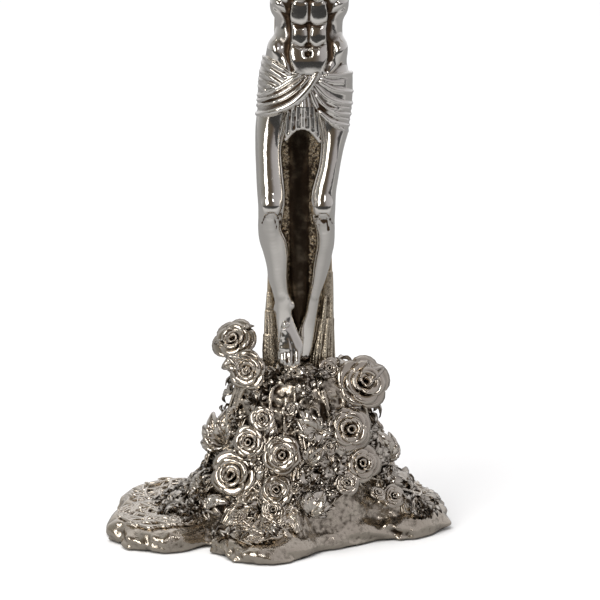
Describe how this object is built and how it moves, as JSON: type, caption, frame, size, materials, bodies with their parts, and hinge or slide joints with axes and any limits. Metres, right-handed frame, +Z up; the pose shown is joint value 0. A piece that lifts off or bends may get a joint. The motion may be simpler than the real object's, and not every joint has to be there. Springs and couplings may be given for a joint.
{
  "type": "altar cross",
  "caption": "Standing crucifix of silver-plated castings: a figure in a folded loincloth on a flared cross, set in a mound of roses and leaves on a lobed rock base.",
  "frame": {"origin": "on the table, below the middle of the cross", "axes": "+Z up, +X to the viewer's right seen from the front, +Y to the back"},
  "size_m": [0.22, 0.122, 0.4169],
  "materials": {
    "felt": "felt",
    "steel": "plain steel fixing",
    "silver": "silver plate, polished, darkened in the hollows",
    "dark_silver": "silver plate, old, brown-black in the hollows",
    "matted_silver": "silver plate, punched texture, dark brown"
  },
  "bodies": {
    "root": {"base_plate": "steel", "base_plate_screw_1": "steel", "base_plate_screw_2": "steel", "base_plate_screw_3": "steel", "base_plate_screw_4": "steel", "corpus_body": "silver", "corpus_left_arm": "silver", "corpus_right_arm": "silver", "cross_upright": "matted_silver", "crossbeam": "matted_silver", "crossing_rivet_left": "dark_silver", "crossing_rivet_right": "dark_silver", "crown_of_thorns": "dark_silver", "felt_pad": "felt", "figure_screw_lower": "steel", "figure_screw_upper": "steel", "foot_wedge_left": "matted_silver", "foot_wedge_right": "matted_silver", "leaf_back_left": "dark_silver", "leaf_back_right": "dark_silver", "leaf_fan_left": "dark_silver", "leaf_heart_right": "dark_silver", "leaf_low_left": "dark_silver", "leaf_low_middle": "dark_silver", "leaf_side_right": "dark_silver", "leaf_skirt_left": "dark_silver", "leaf_skirt_right": "dark_silver", "leaf_upper_middle": "dark_silver", "loincloth": "silver", "nail_feet": "silver", "nail_left_hand": "silver", "nail_right_hand": "silver", "rock_base": "dark_silver", "rose_back_high": "dark_silver", "rose_back_low": "dark_silver", "rose_crest_left": "dark_silver", "rose_great_left": "dark_silver", "rose_heart": "dark_silver", "rose_low_middle": "dark_silver", "rose_low_right": "dark_silver", "rose_middle_left": "dark_silver", "rose_middle_right": "dark_silver", "rose_shoulder_left": "dark_silver", "rose_shoulder_right": "dark_silver", "rose_skirt_left": "dark_silver", "rose_skirt_middle": "dark_silver", "rose_skirt_right": "dark_silver", "rose_under_feet": "dark_silver", "rose_upper_left": "dark_silver", "rose_upper_right": "dark_silver", "rosebud_side_left": "dark_silver", "scroll_pin_left": "dark_silver", "scroll_pin_right": "dark_silver", "tie_rod": "steel", "tie_rod_nut": "steel", "tie_rod_washer": "steel", "title_scroll": "silver"}
  },
  "joints": []
}
